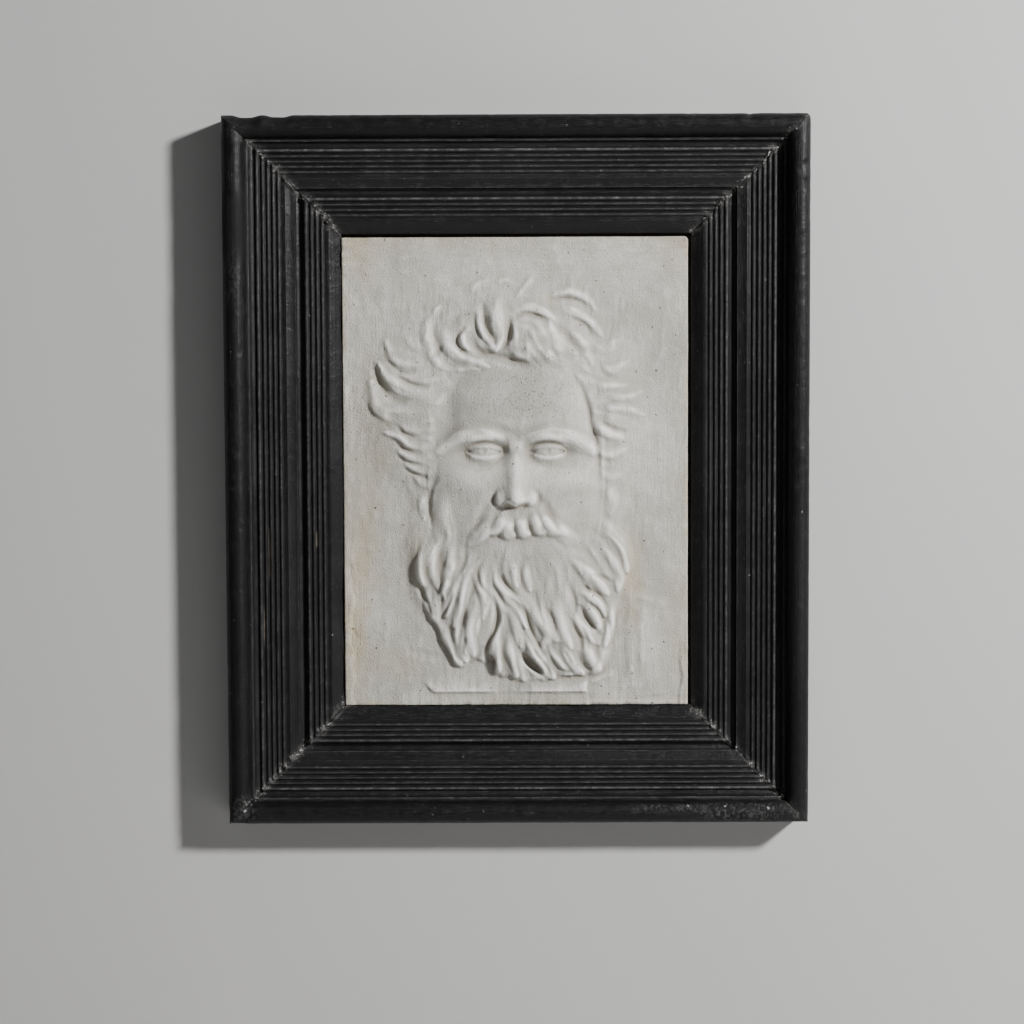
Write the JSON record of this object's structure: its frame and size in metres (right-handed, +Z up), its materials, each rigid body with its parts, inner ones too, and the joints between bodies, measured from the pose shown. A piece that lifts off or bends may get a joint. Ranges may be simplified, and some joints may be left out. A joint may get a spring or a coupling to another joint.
{
  "type": "framed relief plaque",
  "caption": "Cast plaster relief of a bearded head seen from the front, in a deep mitred black wooden frame with reeded mouldings, to hang on a wall.",
  "frame": {"origin": "centre of the back, on the face that lies against the wall", "axes": "+Z up, the carved front faces -Y, the wall is towards +Y, +X is to the viewer's right"},
  "size_m": [0.444, 0.0412, 0.539],
  "materials": {
    "ebonised_wood": "black stained and polished wood, semi-gloss, rubbed and scratched along its arrises, bare and darkened on the back",
    "cast_plaster": "matt warm grey-white cast plaster with brush strokes, pits and yellow-brown stains",
    "bare_wood": "bare softwood board, darkened with age"
  },
  "bodies": {
    "root": {"top_rail": "ebonised_wood", "bottom_rail": "ebonised_wood", "left_stile": "ebonised_wood", "right_stile": "ebonised_wood", "plaster_relief": "cast_plaster", "backing_board": "bare_wood"}
  },
  "joints": []
}
